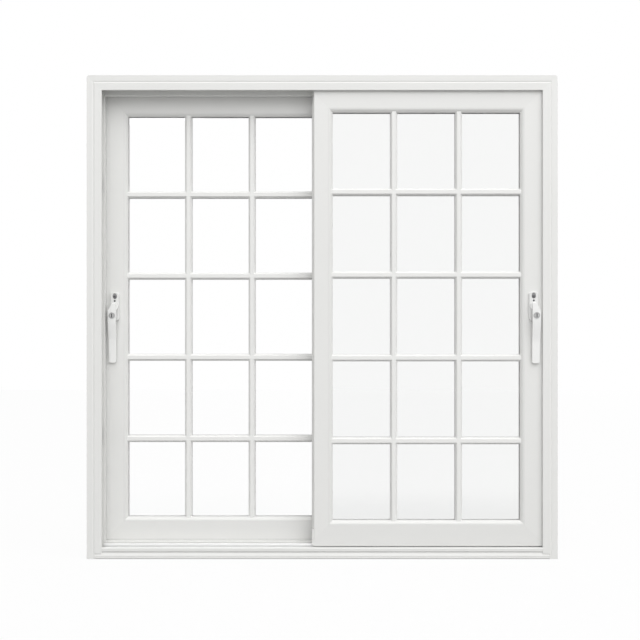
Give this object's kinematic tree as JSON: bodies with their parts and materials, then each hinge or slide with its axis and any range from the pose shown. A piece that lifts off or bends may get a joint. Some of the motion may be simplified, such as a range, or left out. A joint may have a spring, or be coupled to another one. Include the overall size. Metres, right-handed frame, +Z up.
{
  "type": "sliding patio door",
  "caption": "White sliding patio door: grid-glazed panels pass each other on parallel tracks in a stepped frame, with a keyed lever handle on each outer stile.",
  "frame": {"origin": "middle of the sill's underside, at half of the frame's depth", "axes": "+X to the right seen from the room side, +Y from the room side to the weather side, +Z up"},
  "size_m": [2.044, 0.181, 2.1],
  "materials": {
    "white_vinyl": "satin white",
    "white_enamel": "gloss white",
    "white_aluminium": "white coated",
    "mill_aluminium": "mill",
    "clear_glass": "clear",
    "grey_rubber": "matt",
    "steel": "zinc plated",
    "bright_chrome": "polished"
  },
  "bodies": {
    "frame": {"head": "white_vinyl", "left_jamb": "white_vinyl", "right_jamb": "white_vinyl", "sill": "white_vinyl", "head_guide": "white_vinyl", "front_track": "mill_aluminium", "rear_track": "mill_aluminium", "left_buffers": "grey_rubber", "right_buffers": "grey_rubber"},
    "front_panel": {"front_bottom_rail": "white_vinyl", "front_cross_bars": "white_vinyl", "front_glass": "clear_glass", "front_handle_plate": "white_enamel", "front_interlock": "white_aluminium", "front_interlock_cap": "white_vinyl", "front_level_beads": "white_vinyl", "front_lock_stile": "white_vinyl", "front_meeting_stile": "white_vinyl", "front_roller_carriages": "steel", "front_rollers": "steel", "front_spacer": "mill_aluminium", "front_top_rail": "white_vinyl", "front_upright_bars": "white_vinyl", "front_upright_beads": "white_vinyl"},
    "front_lever_set": {"front_lever": "white_enamel", "front_lock_barrel": "bright_chrome"},
    "rear_panel": {"rear_bottom_rail": "white_vinyl", "rear_cross_bars": "white_vinyl", "rear_glass": "clear_glass", "rear_handle_plate": "white_enamel", "rear_interlock": "white_aluminium", "rear_interlock_cap": "white_vinyl", "rear_level_beads": "white_vinyl", "rear_lock_stile": "white_vinyl", "rear_meeting_stile": "white_vinyl", "rear_roller_carriages": "steel", "rear_rollers": "steel", "rear_spacer": "mill_aluminium", "rear_top_rail": "white_vinyl", "rear_upright_bars": "white_vinyl", "rear_upright_beads": "white_vinyl", "rear_weather_pile": "grey_rubber"},
    "rear_lever_set": {"rear_lever": "white_enamel", "rear_lock_barrel": "bright_chrome"}
  },
  "joints": [
    {"name": "front_panel_slide", "type": "slide", "parent": "frame", "child": "front_panel", "axis": [-1, 0, 0], "range_m": [0, 0.92]},
    {"name": "rear_panel_slide", "type": "slide", "parent": "frame", "child": "rear_panel", "axis": [1, 0, 0], "range_m": [0, 0.91]},
    {"name": "front_lever_turn", "type": "hinge", "parent": "front_panel", "child": "front_lever_set", "pos_m": [0.919, -0.066, 1.098], "axis": [0, 1, 0], "range_deg": [0, 90]},
    {"name": "rear_lever_turn", "type": "hinge", "parent": "rear_panel", "child": "rear_lever_set", "pos_m": [-0.919, 0.02, 1.098], "axis": [0, -1, 0], "range_deg": [0, 90]}
  ]
}
